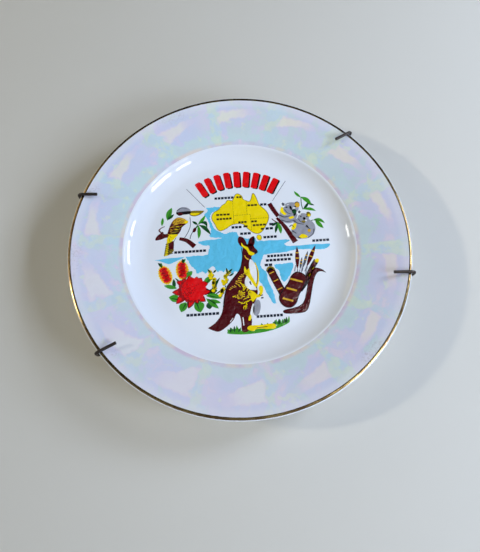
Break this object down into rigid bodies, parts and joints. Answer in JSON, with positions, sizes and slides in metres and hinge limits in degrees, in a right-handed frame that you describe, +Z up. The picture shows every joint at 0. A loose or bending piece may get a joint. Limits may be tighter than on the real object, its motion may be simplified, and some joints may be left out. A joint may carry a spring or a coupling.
{
  "type": "souvenir plate",
  "caption": "Round porcelain display plate with a wide pearl rim and a shallow well, gripped at its lip by bent wire claws that tension springs draw together, for hanging on a wall.",
  "frame": {"origin": "the inside top of the hanging loop, where the nail bears, in the plane of the hanger's wires", "axes": "+Z up the hanger, +Y into the wall, so the plate's face looks towards -Y, and +X to the right as the plate is seen"},
  "size_m": [0.2, 0.0235, 0.2],
  "materials": {
    "glazed_porcelain": "glossy glaze, pearl lustre on the rim, gold line on the lip",
    "blackened_wire": "dark patina, semi-gloss",
    "spring_steel": "bright drawn wire"
  },
  "bodies": {
    "upper_hanger": {"upper_hanger_wire": "blackened_wire", "left_hanger_spring": "spring_steel", "right_hanger_spring": "spring_steel"},
    "lower_hanger": {"lower_hanger_wire": "blackened_wire"},
    "plate": {"porcelain_plate": "glazed_porcelain"}
  },
  "joints": [
    {"name": "plate_turn", "type": "hinge", "parent": "upper_hanger", "child": "plate", "pos_m": [0, -0.0192, -0.08101], "axis": [0, -1, 0], "continuous": true},
    {"name": "lower_wire_pull", "type": "slide", "parent": "upper_hanger", "child": "lower_hanger", "axis": [0, 0, -1], "range_m": [0, 0.018], "stiffness_N_per_m": 900, "springref_m": -0.013, "deforming": ["left_hanger_spring", "right_hanger_spring"]}
  ]
}
